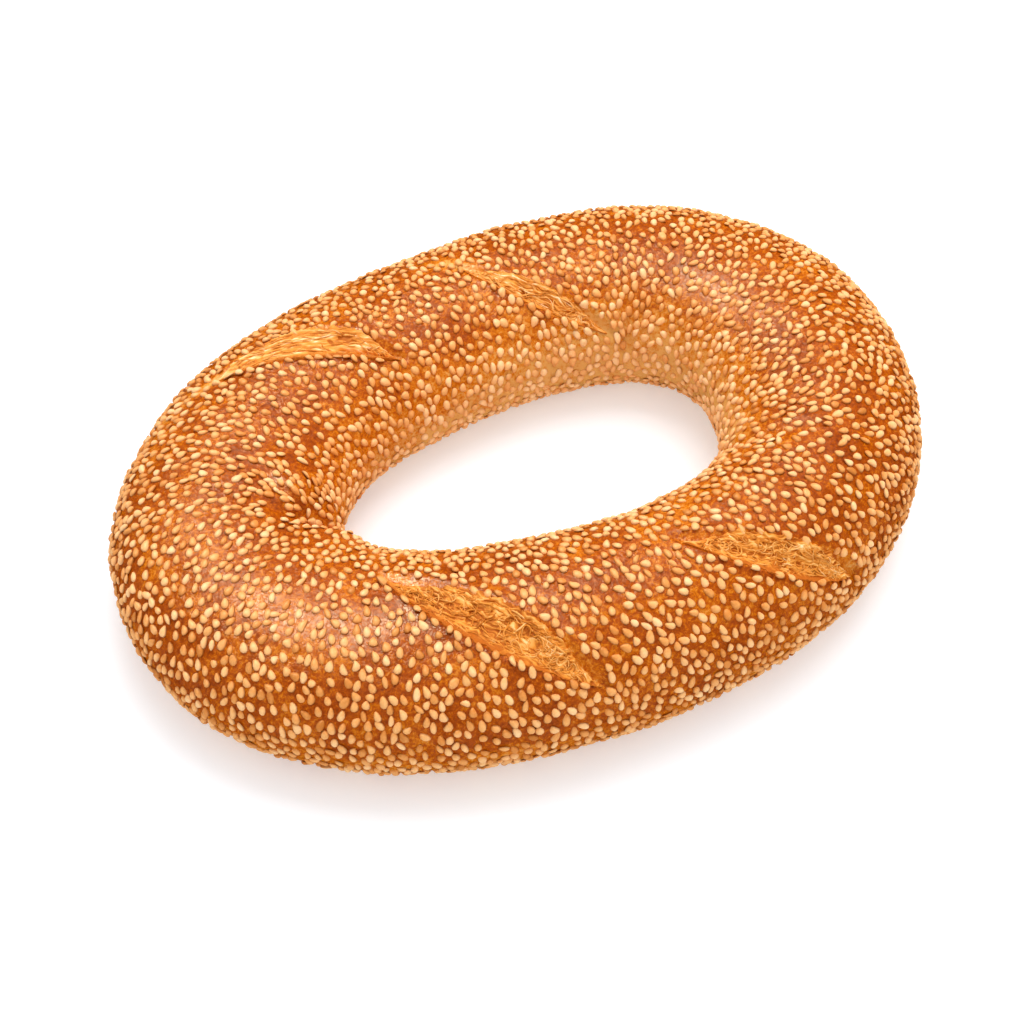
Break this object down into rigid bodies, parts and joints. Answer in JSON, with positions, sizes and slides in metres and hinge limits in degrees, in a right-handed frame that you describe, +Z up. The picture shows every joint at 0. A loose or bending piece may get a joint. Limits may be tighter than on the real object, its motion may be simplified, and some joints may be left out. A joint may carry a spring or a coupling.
{
  "type": "bagel toast",
  "caption": "Long oval ring of sesame bread with slashed golden crust, baked whole, lying flat on its underside.",
  "frame": {"origin": "under the middle of the ring's box, on the flat underside that the bread lies on", "axes": "+X along the long side of the oval, +Y across it, +Z up out of the crust"},
  "size_m": [0.233, 0.172, 0.0436],
  "materials": {
    "crust": "satin"
  },
  "bodies": {
    "root": {"bread_ring": "crust"}
  },
  "joints": []
}
